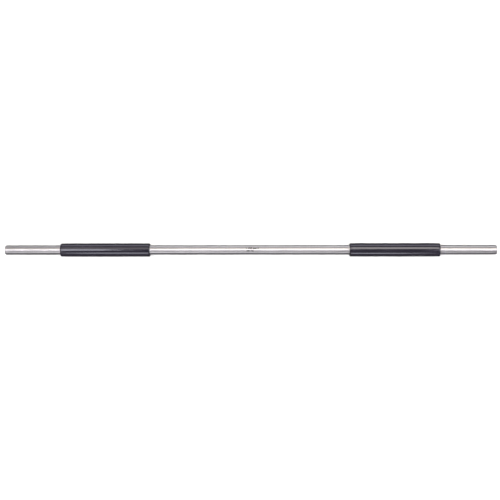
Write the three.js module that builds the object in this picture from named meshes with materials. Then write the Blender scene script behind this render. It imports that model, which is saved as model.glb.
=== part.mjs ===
// A micrometer setting rod: one ground steel bar whose two lapped end faces stand a known length
// apart, with an insulating sleeve pushed over each of its two support points. It lies along X,
// with its origin on the bar's axis at mid length. Millimetres, +Z up.
import * as THREE from "three";

// Driving dimensions.
const NOMINAL_LENGTH = 500; // between the two measuring faces
const BAR_DIAMETER = 9.5;
const BAR_END_CHAMFER = 0.5; // 45 degrees, keeps knocks on the edge off the measuring face
const SLEEVE_LENGTH = 91.5;
const SLEEVE_WALL = 2;
const SLEEVE_END_MARGIN = 57; // from a measuring face to the sleeve's outer end
const SLEEVE_FIT_GAP = 0.05; // radial, between the bar and the sleeve's bore
const SLEEVE_EDGE_RADIUS = 1;
const SLEEVE_BORE_CHAMFER = 0.35; // lead-in for pushing the sleeve on

// The round stretches are prisms of this many sides with a flat underneath. Their flats, and not
// their corners, touch the true circle, so across the flats they have the true diameter.
const SIDES = 48;
const FLAT_TO_CORNER = 1 / Math.cos(Math.PI / SIDES);
const EDGE_ARC_STEPS = 4;

const BAR_RADIUS = BAR_DIAMETER / 2;
const SLEEVE_BORE_RADIUS = BAR_RADIUS + SLEEVE_FIT_GAP;
const SLEEVE_RADIUS = SLEEVE_BORE_RADIUS + SLEEVE_WALL;
const SLEEVE_CENTRE = NOMINAL_LENGTH / 2 - SLEEVE_END_MARGIN - SLEEVE_LENGTH / 2;

const groundSteel = new THREE.MeshStandardMaterial({
  name: "ground_steel",
  color: 0xb4b3b6,
  metalness: 1,
  roughness: 0.2,
});
const blackRubber = new THREE.MeshStandardMaterial({
  name: "black_rubber",
  color: 0x2f2c37,
  metalness: 0,
  roughness: 0.3,
});

// A point of a turned profile: distance from the axis to the flats, and place along the axis.
function turned(radius, along) {
  return new THREE.Vector2(radius * FLAT_TO_CORNER, along);
}

// Revolves a profile about the X axis, with a flat at the bottom.
function turnedSolid(profile) {
  const halfSide = Math.PI / SIDES;
  const geometry = new THREE.LatheGeometry(profile, SIDES, halfSide, 2 * Math.PI);
  return geometry.rotateZ(-Math.PI / 2);
}

function barGeometry() {
  const half = NOMINAL_LENGTH / 2;
  const faceRadius = BAR_RADIUS - BAR_END_CHAMFER;
  return turnedSolid([
    turned(0, -half),
    turned(faceRadius, -half),
    turned(BAR_RADIUS, -half + BAR_END_CHAMFER),
    turned(BAR_RADIUS, half - BAR_END_CHAMFER),
    turned(faceRadius, half),
    turned(0, half),
  ]);
}

// The quarter arc of a sleeve's outer edge, from the end face (side -1 or +1) to the outside.
function sleeveEdge(side) {
  const points = [];
  for (let step = 0; step <= EDGE_ARC_STEPS; step += 1) {
    const turn = (step / EDGE_ARC_STEPS) * (Math.PI / 2);
    const radius = SLEEVE_RADIUS - SLEEVE_EDGE_RADIUS * (1 - Math.sin(turn));
    const inset = SLEEVE_EDGE_RADIUS * (1 - Math.cos(turn));
    points.push(turned(radius, side * (SLEEVE_LENGTH / 2 - inset)));
  }
  return points;
}

function sleeveGeometry() {
  const half = SLEEVE_LENGTH / 2;
  const mouthRadius = SLEEVE_BORE_RADIUS + SLEEVE_BORE_CHAMFER;
  const mouth = turned(mouthRadius, -half);
  return turnedSolid([
    mouth,
    ...sleeveEdge(-1),
    ...sleeveEdge(1).reverse(),
    turned(mouthRadius, half),
    turned(SLEEVE_BORE_RADIUS, half - SLEEVE_BORE_CHAMFER),
    turned(SLEEVE_BORE_RADIUS, -half + SLEEVE_BORE_CHAMFER),
    mouth.clone(),
  ]);
}

// One named piece, placed along the rod's axis.
function piece(name, geometry, material, along) {
  const mesh = new THREE.Mesh(geometry, material);
  mesh.name = name;
  mesh.position.x = along;
  return mesh;
}

const settingRod = new THREE.Group();
settingRod.name = "setting_rod";
settingRod.add(piece("measuring_bar", barGeometry(), groundSteel, 0));
settingRod.add(piece("left_grip_sleeve", sleeveGeometry(), blackRubber, -SLEEVE_CENTRE));
settingRod.add(piece("right_grip_sleeve", sleeveGeometry(), blackRubber, SLEEVE_CENTRE));

export default settingRod;
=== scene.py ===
"""A micrometer setting rod: a ground steel bar with an etched size mark and two black insulating
sleeves, lying on a white table and seen from straight above between long softboxes.

The rod lies along X with its etched mark upwards. Metres, +Z up.
"""

import math

import bmesh
import bpy
from mathutils import Matrix, Quaternion, Vector, noise


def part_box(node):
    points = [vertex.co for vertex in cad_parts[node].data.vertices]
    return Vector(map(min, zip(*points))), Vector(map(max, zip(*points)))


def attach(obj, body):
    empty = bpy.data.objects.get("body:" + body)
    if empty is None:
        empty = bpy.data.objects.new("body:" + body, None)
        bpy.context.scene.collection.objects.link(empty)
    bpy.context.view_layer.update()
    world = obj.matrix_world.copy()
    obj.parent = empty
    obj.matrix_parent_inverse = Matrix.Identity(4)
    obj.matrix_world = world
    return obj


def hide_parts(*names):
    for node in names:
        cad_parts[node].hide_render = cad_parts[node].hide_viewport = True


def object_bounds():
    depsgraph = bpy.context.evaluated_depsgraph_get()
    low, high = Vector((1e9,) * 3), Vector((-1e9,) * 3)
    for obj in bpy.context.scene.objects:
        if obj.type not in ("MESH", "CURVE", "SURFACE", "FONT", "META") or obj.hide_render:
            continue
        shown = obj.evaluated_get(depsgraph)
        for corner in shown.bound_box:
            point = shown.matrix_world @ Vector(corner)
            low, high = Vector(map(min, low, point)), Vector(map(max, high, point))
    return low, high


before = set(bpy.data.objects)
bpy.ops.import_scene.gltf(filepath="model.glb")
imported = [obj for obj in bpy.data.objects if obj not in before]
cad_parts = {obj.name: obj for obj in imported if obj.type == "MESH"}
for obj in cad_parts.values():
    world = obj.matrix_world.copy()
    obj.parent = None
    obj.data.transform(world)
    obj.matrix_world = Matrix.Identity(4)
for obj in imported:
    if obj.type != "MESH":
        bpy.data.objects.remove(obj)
cad_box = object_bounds()

MM = 0.001
BODY = "root"

bar_low, bar_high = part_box("measuring_bar")
BAR_RADIUS = (bar_high.z - bar_low.z) / 2
BAR_HALF_LENGTH = (bar_high.x - bar_low.x) / 2
BAR_CHAMFER = 0.5 * MM
BAR_EDGE_BREAK = 0.06 * MM
BAR_EDGE_STEPS = 3
BAR_FACE_RINGS = 5
AROUND_BAR = 192
ALONG_BAR = 48

SLEEVE_EDGE_RADIUS = 1.0 * MM
SLEEVE_BORE_CHAMFER = 0.35 * MM
SLEEVE_BORE_CLEARANCE = 0.02 * MM
SLEEVE_UNEVENNESS = 0.08 * MM
SLEEVE_EDGE_STEPS = 8
AROUND_SLEEVE = 160
ALONG_SLEEVE = 150


# ---------------------------------------------------------------- mesh helpers
def arc(centre, radius, start, end, steps):
    """Points (along, radius) on an arc of a turned profile. Degrees, 0 along +X, 90 outwards."""
    points = []
    for step in range(steps + 1):
        angle = math.radians(start + (end - start) * step / steps)
        points.append((centre[0] + radius * math.cos(angle), centre[1] + radius * math.sin(angle)))
    return points


def span(start, end, steps):
    """Evenly spaced points between two points of a profile, both ends left out."""
    shares = [step / steps for step in range(1, steps)]
    return [tuple(a + (b - a) * share for a, b in zip(start, end)) for share in shares]


def piece_from(mesh, name, *materials):
    """Turns a bmesh into a scene object with these materials, and frees it."""
    bmesh.ops.recalc_face_normals(mesh, faces=mesh.faces)
    data = bpy.data.meshes.new(name)
    mesh.to_mesh(data)
    mesh.free()
    for material in materials:
        data.materials.append(material)
    piece = bpy.data.objects.new(name, data)
    bpy.context.scene.collection.objects.link(piece)
    return piece


def turned(profile, around, closed, slots=None):
    """A bmesh turned about the X axis from (along, radius) points, left to right.

    An open profile starts and ends on the axis, and a closed one comes back to its start. slots
    gives the material index of the band after each row. U runs along the profile, V around it.
    """
    mesh = bmesh.new()
    rings = []
    for along, radius in profile:
        angles = [2 * math.pi * step / around for step in range(around)] if radius > 0 else [0]
        rings.append(
            [mesh.verts.new((along, radius * math.sin(a), radius * math.cos(a))) for a in angles]
        )
    lengths = [0.0]
    for (x0, r0), (x1, r1) in zip(profile, profile[1:] + profile[:1]):
        lengths.append(lengths[-1] + math.hypot(x1 - x0, r1 - r0))
    uv = mesh.loops.layers.uv.new("UVMap")
    for row in range(len(profile) if closed else len(profile) - 1):
        left, right = rings[row], rings[(row + 1) % len(profile)]
        for step in range(around):
            corners = [(left, row, step), (right, row + 1, step)]
            corners += [(right, row + 1, step + 1), (left, row, step + 1)]
            if len(left) == 1:
                corners.pop()
            if len(right) == 1:
                corners.pop(1)
            face = mesh.faces.new([ring[turn % len(ring)] for ring, _, turn in corners])
            face.smooth = True
            face.material_index = slots[row] if slots else 0
            for loop, (_, at, turn) in zip(face.loops, corners):
                loop[uv].uv = (lengths[at] / lengths[-1], turn / around)
    return mesh


# ---------------------------------------------------------------- material helpers
def new_material(name, **values):
    """A Principled material with these values on its own sockets, its node tree and its shader."""
    material = bpy.data.materials.new(name)
    material.use_nodes = True
    shader = material.node_tree.nodes["Principled BSDF"]
    for socket, value in values.items():
        shader.inputs[socket].default_value = value
    return material, material.node_tree, shader


def stretched_noise(tree, per_metre, detail=2.0):
    """Noise with this many features per metre along each axis."""
    where = tree.nodes.new("ShaderNodeTexCoord")
    scaled = tree.nodes.new("ShaderNodeMapping")
    scaled.inputs["Scale"].default_value = per_metre
    texture = tree.nodes.new("ShaderNodeTexNoise")
    texture.inputs["Scale"].default_value = 1.0
    texture.inputs["Detail"].default_value = detail
    tree.links.new(where.outputs["Object"], scaled.inputs["Vector"])
    tree.links.new(scaled.outputs["Vector"], texture.inputs["Vector"])
    return texture.outputs["Fac"]


def remap(tree, value, low, high, to_low, to_high):
    """value from low..high to to_low..to_high, held at both ends."""
    node = tree.nodes.new("ShaderNodeMapRange")
    limits = {"From Min": low, "From Max": high, "To Min": to_low, "To Max": to_high}
    for socket, number in limits.items():
        node.inputs[socket].default_value = number
    tree.links.new(value, node.inputs["Value"])
    return node.outputs["Result"]


def combine(tree, operation, first, second):
    """A math node on two sockets, or on a socket and a number."""
    node = tree.nodes.new("ShaderNodeMath")
    node.operation = operation
    for socket, value in zip(node.inputs, (first, second)):
        if isinstance(value, (int, float)):
            socket.default_value = value
        else:
            tree.links.new(value, socket)
    return node.outputs["Value"]


def blend_colours(tree, factor, first, second):
    """A colour from first, where factor is 0, to second, where it is 1."""
    node = tree.nodes.new("ShaderNodeMix")
    node.data_type = "RGBA"
    node.inputs["A"].default_value = (*first, 1)
    node.inputs["B"].default_value = (*second, 1)
    tree.links.new(factor, node.inputs["Factor"])
    return node.outputs["Result"]


def bump(tree, shader, height, distance):
    """Relief of this depth in metres."""
    node = tree.nodes.new("ShaderNodeBump")
    node.inputs["Distance"].default_value = distance
    tree.links.new(height, node.inputs["Height"])
    tree.links.new(node.outputs["Normal"], shader.inputs["Normal"])


# ---------------------------------------------------------------- materials
def ground_steel():
    """Ground round the axis, so reflections smear along the bar, with faint handling marks."""
    material, tree, shader = new_material("ground_steel", Metallic=1.0, Anisotropic=1.0)
    lay = stretched_noise(tree, (2600, 40, 40), detail=3)
    scratches = stretched_noise(tree, (11000, 90, 90), detail=1)
    bands = stretched_noise(tree, (70, 15, 15))
    marks = stretched_noise(tree, (35, 900, 900), detail=1)
    uneven = combine(tree, "MULTIPLY", combine(tree, "ADD", bands, lay), 0.3)
    tone = combine(tree, "ADD", uneven, combine(tree, "MULTIPLY", scratches, 0.4))
    colour = blend_colours(
        tree, remap(tree, tone, 0.38, 0.62, 0, 1), (0.58, 0.556, 0.584), (0.69, 0.664, 0.696)
    )
    fine = remap(tree, lay, 0.3, 0.7, 0.295, 0.325)
    handled = remap(tree, marks, 0.62, 0.75, 0.0, 0.02)
    tree.links.new(colour, shader.inputs["Base Color"])
    tree.links.new(combine(tree, "ADD", fine, handled), shader.inputs["Roughness"])
    bump(tree, shader, scratches, 0.6e-6)
    tangent = tree.nodes.new("ShaderNodeTangent")
    tangent.direction_type = "UV_MAP"
    tangent.uv_map = "UVMap"
    tree.links.new(tangent.outputs["Tangent"], shader.inputs["Tangent"])
    return material


def lapped_steel():
    """A measuring face: lapped almost to a mirror, with a faint crossed pattern."""
    material, tree, shader = new_material("lapped_steel", Metallic=1.0)
    one_way = stretched_noise(tree, (1, 9000, 700), detail=1)
    other_way = stretched_noise(tree, (1, 700, 9000), detail=1)
    crossed = combine(tree, "MAXIMUM", one_way, other_way)
    colour = blend_colours(tree, crossed, (0.58, 0.58, 0.59), (0.76, 0.76, 0.765))
    tree.links.new(colour, shader.inputs["Base Color"])
    tree.links.new(remap(tree, crossed, 0.45, 0.7, 0.08, 0.2), shader.inputs["Roughness"])
    bump(tree, shader, crossed, 0.8e-6)
    return material


def turned_steel():
    """A chamfer: a turned cone, a little rougher and darker than the ground bar."""
    material, tree, shader = new_material("turned_steel", Metallic=1.0)
    lines = stretched_noise(tree, (9000, 60, 60))
    colour = blend_colours(tree, lines, (0.42, 0.41, 0.42), (0.55, 0.54, 0.55))
    tree.links.new(colour, shader.inputs["Base Color"])
    tree.links.new(remap(tree, lines, 0.3, 0.7, 0.25, 0.45), shader.inputs["Roughness"])
    bump(tree, shader, lines, 2e-6)
    return material


def black_rubber():
    """Extruded rubber: die lines along the sleeve, handling wear that is a little rougher and has a
    painted sheen, a lighter colour in patches, and a little dust.
    """
    material, tree, shader = new_material("black_rubber", IOR=1.55)
    shader.inputs["Specular Tint"].default_value = (0.885, 0.885, 1.0, 1)
    die_lines = stretched_noise(tree, (12, 1400, 1400))
    wear_and_painted_sheen = stretched_noise(tree, (45, 120, 120), detail=3)
    grain = stretched_noise(tree, (5000, 5000, 5000))
    dust = remap(tree, stretched_noise(tree, (4200, 4200, 4200), detail=0), 0.76, 0.82, 0, 0.8)
    # Painted sheen: the colour is a little lighter in patches along the sleeve. The dust specks added
    # to it are real.
    tone = combine(tree, "ADD", remap(tree, wear_and_painted_sheen, 0.3, 0.7, 0.0, 0.35), dust)
    colour = blend_colours(tree, tone, (0.009, 0.0075, 0.013), (0.026, 0.0225, 0.034))
    # The same patches are a little rougher, for real wear from handling.
    worn = remap(tree, wear_and_painted_sheen, 0.3, 0.7, 0.09, 0.14)
    dull = combine(tree, "ADD", worn, combine(tree, "MULTIPLY", dust, 0.2))
    tree.links.new(colour, shader.inputs["Base Color"])
    tree.links.new(dull, shader.inputs["Roughness"])
    height = combine(tree, "ADD", die_lines, combine(tree, "MULTIPLY", grain, 0.25))
    bump(tree, shader, height, 2.5e-6)
    return material


def etched_oxide():
    """An etched mark: dark, matt oxide with the steel showing through in specks."""
    material, tree, shader = new_material("etched_oxide", Roughness=0.7, IOR=1.3)
    specks = stretched_noise(tree, (6000, 6000, 6000))
    bare = remap(tree, specks, 0.45, 0.75, 0, 1)
    colour = blend_colours(tree, bare, (0.010, 0.007, 0.005), (0.04, 0.03, 0.024))
    tree.links.new(colour, shader.inputs["Base Color"])
    return material


# ---------------------------------------------------------------- the bar
def bar_end():
    """Half of the bar's profile, from the middle of the left face to the start of the round
    body, and how many of its bands are the face and its edge."""
    half = BAR_HALF_LENGTH
    lean = BAR_EDGE_BREAK * math.tan(math.radians(22.5))
    face_edge = BAR_RADIUS - BAR_CHAMFER - lean
    body_edge = half - BAR_CHAMFER - lean
    face = [(-half, 0.0)] + span((-half, 0.0), (-half, face_edge), BAR_FACE_RINGS)
    face += arc((-half + BAR_EDGE_BREAK, face_edge), BAR_EDGE_BREAK, 180, 135, BAR_EDGE_STEPS)
    chamfer = arc((-body_edge, BAR_RADIUS - BAR_EDGE_BREAK), BAR_EDGE_BREAK, 135, 90, BAR_EDGE_STEPS)
    return face, chamfer


def make_bar():
    """The bar, with its round body, chamfers and measuring faces in steels of their own."""
    face, chamfer = bar_end()
    left = face + chamfer
    right = [(-along, radius) for along, radius in reversed(left)]
    body = span(left[-1], right[0], ALONG_BAR)
    slots = [1] * (len(face) - 1) + [2] * len(chamfer) + [0] * (len(body) + 1)
    slots += slots[: len(left) - 1][::-1]
    mesh = turned(left + body + right, AROUND_BAR, closed=False, slots=slots)
    bar = piece_from(mesh, "ground_bar", ground_steel(), lapped_steel(), turned_steel())
    flat_faces = bar.modifiers.new("faces_stay_flat", "WEIGHTED_NORMAL")
    flat_faces.weight = 100
    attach(bar, BODY)
    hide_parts("measuring_bar")


# ---------------------------------------------------------------- the sleeves
def soften(mesh, bore, seed):
    """Lets an extruded sleeve stray inwards from a true tube, everywhere but in its bore."""
    for vertex in mesh.verts:
        radius = math.hypot(vertex.co.y, vertex.co.z)
        if radius < bore:
            continue
        around = Vector((0, vertex.co.y, vertex.co.z)) / radius
        swell = noise.noise(Vector((vertex.co.x * 55 + seed, 0, 0)) + around * 1.1)
        ripple = noise.noise(Vector((vertex.co.x * 125 - seed, 0, 0)) + around * 2.5)
        inwards = SLEEVE_UNEVENNESS * (0.5 + 0.35 * swell + 0.15 * ripple)
        vertex.co -= around * inwards


def make_sleeve(node, name, seed, material):
    """The sleeve that stands in for this CAD node. The seed makes its unevenness its own."""
    low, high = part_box(node)
    half = (high.x - low.x) / 2
    outside = (high.z - low.z) / 2
    bore = BAR_RADIUS + SLEEVE_BORE_CLEARANCE
    mouth = bore + SLEEVE_BORE_CHAMFER
    edge = SLEEVE_EDGE_RADIUS
    left_edge = arc((-half + edge, outside - edge), edge, 180, 90, SLEEVE_EDGE_STEPS)
    right_edge = arc((half - edge, outside - edge), edge, 90, 0, SLEEVE_EDGE_STEPS)
    wall = span(left_edge[-1], right_edge[0], ALONG_SLEEVE)
    inside = [(half - SLEEVE_BORE_CHAMFER, bore), (-half + SLEEVE_BORE_CHAMFER, bore)]
    profile = [(-half, mouth)] + left_edge + wall + right_edge + [(half, mouth)] + inside
    centre = (low.x + high.x) / 2
    mesh = turned([(centre + x, radius) for x, radius in profile], AROUND_SLEEVE, closed=True)
    soften(mesh, mouth + 0.1 * MM, seed)
    sleeve = piece_from(mesh, name, material)
    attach(sleeve, BODY)
    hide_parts(node)


# ---------------------------------------------------------------- the etched size mark
MARK_STROKE = 0.36 * MM
MARK_BOLDNESS = 0.06  # of the letters' size, added to each side of a stroke
MARK_LETTER_SPACING = 1.14
MARK_SKIN = 0.012 * MM
MARK_STRIPS = 10


def lettering(words, width, height):
    """A bmesh of flat letters of this size, centred on the origin."""
    curve = bpy.data.curves.new("lettering", "FONT")
    curve.body = words
    curve.offset = MARK_BOLDNESS
    curve.space_character = MARK_LETTER_SPACING
    curve.resolution_u = 8
    holder = bpy.data.objects.new("lettering", curve)
    bpy.context.scene.collection.objects.link(holder)
    bpy.context.view_layer.update()
    flat = bpy.data.meshes.new_from_object(
        holder.evaluated_get(bpy.context.evaluated_depsgraph_get())
    )
    bpy.data.objects.remove(holder)
    bpy.data.curves.remove(curve)
    mesh = bmesh.new()
    mesh.from_mesh(flat)
    bpy.data.meshes.remove(flat)
    for axis, size in ((0, width), (1, height)):
        places = [vertex.co[axis] for vertex in mesh.verts]
        low, high = min(places), max(places)
        for vertex in mesh.verts:
            vertex.co[axis] = (vertex.co[axis] - (low + high) / 2) * size / (high - low)
    return mesh


def add_stroke(mesh, along, width, height):
    """A flat rectangle in the mark's plane, centred on its middle line."""
    corners = [(-1, -1), (1, -1), (1, 1), (-1, 1)]
    mesh.faces.new(
        [mesh.verts.new((along + i * width / 2, j * height / 2, 0)) for i, j in corners]
    )


def wrap_on_bar(mesh, height, along, arc_from_top):
    """Lays a flat mark round the bar as a thin closed skin, in strips that follow the curve."""
    for strip in range(1, MARK_STRIPS):
        cut = (0, height * (strip / MARK_STRIPS - 0.5), 0)
        everything = mesh.verts[:] + mesh.edges[:] + mesh.faces[:]
        bmesh.ops.bisect_plane(mesh, geom=everything, plane_co=cut, plane_no=(0, 1, 0))
    bmesh.ops.remove_doubles(mesh, verts=mesh.verts, dist=1e-7)
    raised = bmesh.ops.extrude_face_region(mesh, geom=mesh.faces[:])["geom"]
    for vertex in mesh.verts:
        side = 1 if vertex in raised else -1
        radius = BAR_RADIUS + side * MARK_SKIN / 2
        angle = (vertex.co.y + arc_from_top) / BAR_RADIUS
        vertex.co = (vertex.co.x + along, radius * math.sin(angle), radius * math.cos(angle))


def make_size_mark():
    """A dimension line broken by the nominal length, over the reference temperature."""
    line_width, words_width, gap, tick_height = 12.8 * MM, 8.2 * MM, 0.4 * MM, 1.5 * MM
    length_height, temperature_height = 1.8 * MM, 1.5 * MM
    size_line = lettering(f"{round(2 * BAR_HALF_LENGTH / MM)} mm", words_width, length_height)
    reach = (line_width - words_width) / 2 - gap
    for side in (-1, 1):
        add_stroke(size_line, side * (line_width - MARK_STROKE) / 2, MARK_STROKE, tick_height)
        add_stroke(size_line, side * (line_width - reach) / 2, reach, MARK_STROKE)
    temperature = lettering("20 °C", 7.4 * MM, temperature_height)
    oxide = etched_oxide()
    for mesh, name, height, along, arc_from_top in (
        (size_line, "etched_length", length_height, 3.0 * MM, 1.85 * MM),
        (temperature, "etched_temperature", temperature_height, 0.8 * MM, -0.8 * MM),
    ):
        wrap_on_bar(mesh, height, along, arc_from_top)
        mark = piece_from(mesh, name, oxide)
        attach(mark, BODY)


# ---------------------------------------------------------------- the studio
FLOOR_RADIUS = 4.0
AROUND_FLOOR = 96
BACKDROP_RADIUS = 2.0
BACKDROP_STEPS = 16
SOFTBOX_DISTANCE = 1.25
END_WINDOW_DISTANCE = 1.5
ROOM_LIGHT = (0.18, 0.175, 0.18)
WARM = (1, 0.95, 0.8)
WASH_LAMPS = 8
WASH_SIZE = 1.2
WASH_RING_RADIUS = 1.6
WASH_HEIGHT = 1.8
WASH_TILT = 0.5
WASH_RADIANCE = 14.0


def make_floor():
    """A round white table top that curves up into a backdrop at its rim.

    It is left out of reflections, where it would show as a white band low on the rod, and it
    lets through the light of the end windows, whose lower parts are below it.
    """
    bottom = cad_box[0].z
    profile = [(bottom, 0.0), (bottom, FLOOR_RADIUS)]
    turn = arc((bottom + BACKDROP_RADIUS, FLOOR_RADIUS), BACKDROP_RADIUS, 180, 90, BACKDROP_STEPS)
    mesh = turned(profile + turn[1:], AROUND_FLOOR, closed=False)
    bmesh.ops.rotate(mesh, verts=mesh.verts, matrix=Matrix.Rotation(-math.pi / 2, 3, "Y"))
    material, _, shader = new_material("white_table", Roughness=0.9)
    shader.inputs["Base Color"].default_value = (0.86, 0.86, 0.86, 1)
    floor = piece_from(mesh, "table_top", material)
    floor.visible_glossy = False
    floor.visible_shadow = False


def aimed(away, up, place):
    """The matrix of a lamp or camera at this place, looking against away with up upwards."""
    across = up.cross(away).normalized()
    rotation = Matrix((across, away.cross(across), away)).transposed()
    return Matrix.Translation(place) @ rotation.to_4x4()


def add_lamp(name, size, facing, place, radiance, colour=(1, 1, 1), in_gloss=True):
    """A rectangular lamp. facing is its away and up vectors, as for aimed()."""
    data = bpy.data.lights.new(name, "AREA")
    data.shape = "RECTANGLE"
    data.size, data.size_y = size
    data.color = colour
    data.energy = radiance * math.pi * size[0] * size[1]
    lamp = bpy.data.objects.new(name, data)
    bpy.context.scene.collection.objects.link(lamp)
    lamp.matrix_world = aimed(*facing, place)
    lamp.visible_camera = False
    lamp.visible_glossy = in_gloss


def make_softbox(name, angles, reach, radiance, colour=(1, 1, 1), in_gloss=True):
    """A softbox along the rod. angles are its edges as seen from the rod, in degrees from
    straight up and positive towards +Y, and reach its ends along X."""
    low, high = (math.radians(angle) for angle in angles)
    size = (reach[1] - reach[0], 2 * SOFTBOX_DISTANCE * math.tan((high - low) / 2))
    middle = (low + high) / 2
    away = Vector((0, math.sin(middle), math.cos(middle)))
    up = Vector((0, math.cos(middle), -math.sin(middle)))
    place = Vector((sum(reach) / 2, 0, 0)) + away * SOFTBOX_DISTANCE
    add_lamp(name, size, (away, up), place, radiance, colour, in_gloss)


def make_end_window(name, side, width, heights, radiance):
    """A window beyond one end of the rod, side -1 or +1, between two heights."""
    size = (width, heights[1] - heights[0])
    place = Vector((side * END_WINDOW_DISTANCE, 0, sum(heights) / 2))
    add_lamp(name, size, (Vector((side, 0, 0)), Vector((0, 0, 1))), place, radiance)


def light_the_rod():
    """Softboxes over the rod and beside it, which draw bands of light along the steel and the
    rubber, a window beyond each end, and a fill light that isn't seen in reflections."""
    make_softbox("left_softbox", (-10, 12), (-0.7, -0.35), 8)
    make_softbox("middle_softbox", (5, 15), (-0.2, 0.2), 4.5)
    make_softbox("right_softbox", (-20, 12), (0.45, 0.7), 7)
    make_softbox("ceiling_left", (15, 45), (-0.5, -0.2), 2, WARM)
    make_softbox("ceiling_right", (15, 45), (0.15, 0.45), 6, WARM)
    make_softbox("front_far_left", (-45, -20), (-0.65, -0.5), 4)
    make_softbox("front_left", (-70, -45), (-0.45, -0.15), 4)
    make_softbox("front_right", (-70, -55), (0.15, 0.35), 6)
    make_softbox("back_window", (70, 95), (-0.5, 0.6), 2)
    make_softbox("fill", (-25, 25), (-0.6, 0.6), 4, in_gloss=False)
    make_end_window("end_window_left", -1, 0.5, (-0.5, 0.1), 2)
    make_end_window("end_window_right", 1, 1, (-0.5, 0.5), 3)


def wash_backdrop():
    """Lamps in a ring, turned away from the rod and out of its reflections, that make the
    backdrop as pale as the table."""
    for step in range(WASH_LAMPS):
        turn = 2 * math.pi * step / WASH_LAMPS
        outwards = Vector((math.cos(turn), math.sin(turn), 0))
        shines_to = (outwards - WASH_TILT * Vector((0, 0, 1))).normalized()
        up = (Vector((0, 0, 1)) - shines_to.z * shines_to).normalized()
        place = outwards * WASH_RING_RADIUS + Vector((0, 0, WASH_HEIGHT))
        name = f"backdrop_wash_{step + 1}"
        add_lamp(name, (WASH_SIZE, WASH_SIZE), (-shines_to, up), place, WASH_RADIANCE, in_gloss=False)


def make_world():
    """An even, dim room."""
    world = bpy.data.worlds.new("studio")
    world.use_nodes = True
    world.node_tree.nodes["Background"].inputs["Color"].default_value = (*ROOM_LIGHT, 1)
    bpy.context.scene.world = world


def make_camera():
    """Straight above the rod, a little to its right and turned back to its middle, with a
    slight roll that lets the rod's left end sink in the picture."""
    distance = 1.0
    yaw = math.radians(1.62)
    roll = math.radians(0.037)
    aim = Vector((0.55 * MM, -0.09 * MM, 0))
    data = bpy.data.cameras.new("camera")
    data.lens = 70.67
    data.sensor_width = 36
    data.clip_start = 0.01
    data.clip_end = 50
    camera = bpy.data.objects.new("camera", data)
    bpy.context.scene.collection.objects.link(camera)
    away = Vector((math.sin(yaw), 0, math.cos(yaw)))
    up = Vector((0, 1, 0))
    up.rotate(Quaternion(away, -roll))
    camera.matrix_world = aimed(away, up, aim + away * distance)
    bpy.context.scene.camera = camera


make_bar()
rubber = black_rubber()
make_sleeve("left_grip_sleeve", "left_sleeve", 3.7, rubber)
make_sleeve("right_grip_sleeve", "right_sleeve", 11.2, rubber)
make_size_mark()

make_floor()
wash_backdrop()
make_world()
light_the_rod()
make_camera()
bpy.context.scene.view_settings.view_transform = "Standard"
